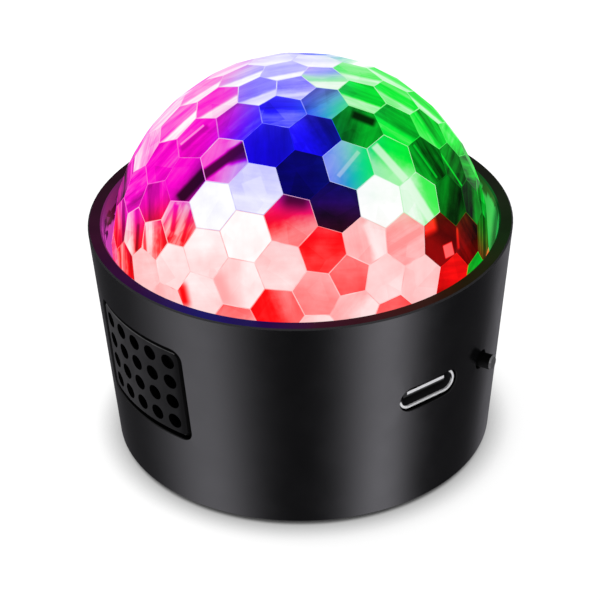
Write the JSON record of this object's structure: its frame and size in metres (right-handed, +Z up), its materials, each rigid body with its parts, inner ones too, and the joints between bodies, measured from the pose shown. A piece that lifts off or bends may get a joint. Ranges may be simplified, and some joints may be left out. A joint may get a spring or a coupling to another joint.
{
  "type": "led disco ball light",
  "caption": "Small table-top party light: a tapered black cup with a faceted clear dome that turns in its mouth over coloured LEDs, with a USB-C inlet, a button and a sound grille.",
  "frame": {"origin": "on the table, under the middle of the light, at the bottom of its rubber feet", "axes": "+Z up along the axis that the dome turns about; -Y is the front; the USB-C inlet and the button are towards +X"},
  "size_m": [0.055, 0.055, 0.0519],
  "materials": {
    "black_housing": "satin black moulded ABS",
    "black_cover": "matt black moulded ABS",
    "grille_plastic": "satin black moulded ABS",
    "button_plastic": "satin black moulded ABS",
    "clear_dome": "clear polished acrylic, lit from inside",
    "white_plastic": "white moulded plastic",
    "black_screw": "black oxide steel",
    "steel_screw": "zinc plated steel",
    "foot_rubber": "matt black rubber",
    "boot_rubber": "matt black rubber",
    "pad_foam": "white foam tape",
    "cell_foil": "aluminium laminate",
    "green_board": "green solder mask",
    "white_board": "white solder mask",
    "chip_plastic": "black epoxy",
    "usb_steel": "bright nickel-plated steel",
    "gold_contact": "gold plate",
    "switch_plastic": "black plastic",
    "mic_metal": "drawn aluminium",
    "motor_steel": "plated steel",
    "led_red": "white package with a clear lens, glowing red",
    "led_green": "white package with a clear lens, glowing green",
    "led_blue": "white package with a clear lens, glowing blue"
  },
  "bodies": {
    "base": {"housing": "black_housing", "base_cover": "black_cover", "sound_grille": "grille_plastic", "gearbox_case": "white_plastic", "base_screws": "black_screw", "main_board_screws": "steel_screw", "led_board_screws": "steel_screw", "gearbox_screws": "steel_screw", "rubber_feet": "foot_rubber", "microphone_boot": "boot_rubber", "battery_pad": "pad_foam", "battery": "cell_foil", "main_board": "green_board", "led_board": "white_board", "board_chips": "chip_plastic", "header_block": "chip_plastic", "usb_tongue": "chip_plastic", "usb_shell": "usb_steel", "usb_contacts": "gold_contact", "pin_header": "gold_contact", "switch_body": "switch_plastic", "microphone": "mic_metal", "motor_can": "motor_steel", "led_red": "led_red", "led_green": "led_green", "led_blue": "led_blue"},
    "dome": {"dome": "clear_dome", "dome_carrier": "white_plastic", "carrier_screws": "steel_screw", "output_shaft": "motor_steel"},
    "button": {"mode_button": "button_plastic", "switch_plunger": "switch_plastic"}
  },
  "joints": [
    {"name": "dome_spin", "type": "hinge", "parent": "base", "child": "dome", "pos_m": [0, 0, 0.02747], "axis": [0, 0, 1], "continuous": true},
    {"name": "button_press", "type": "slide", "parent": "base", "child": "button", "axis": [-0.8662, 0.4996, 0], "range_m": [0, 0.0005], "stiffness_N_per_m": 600, "springref_m": -0.0005}
  ]
}
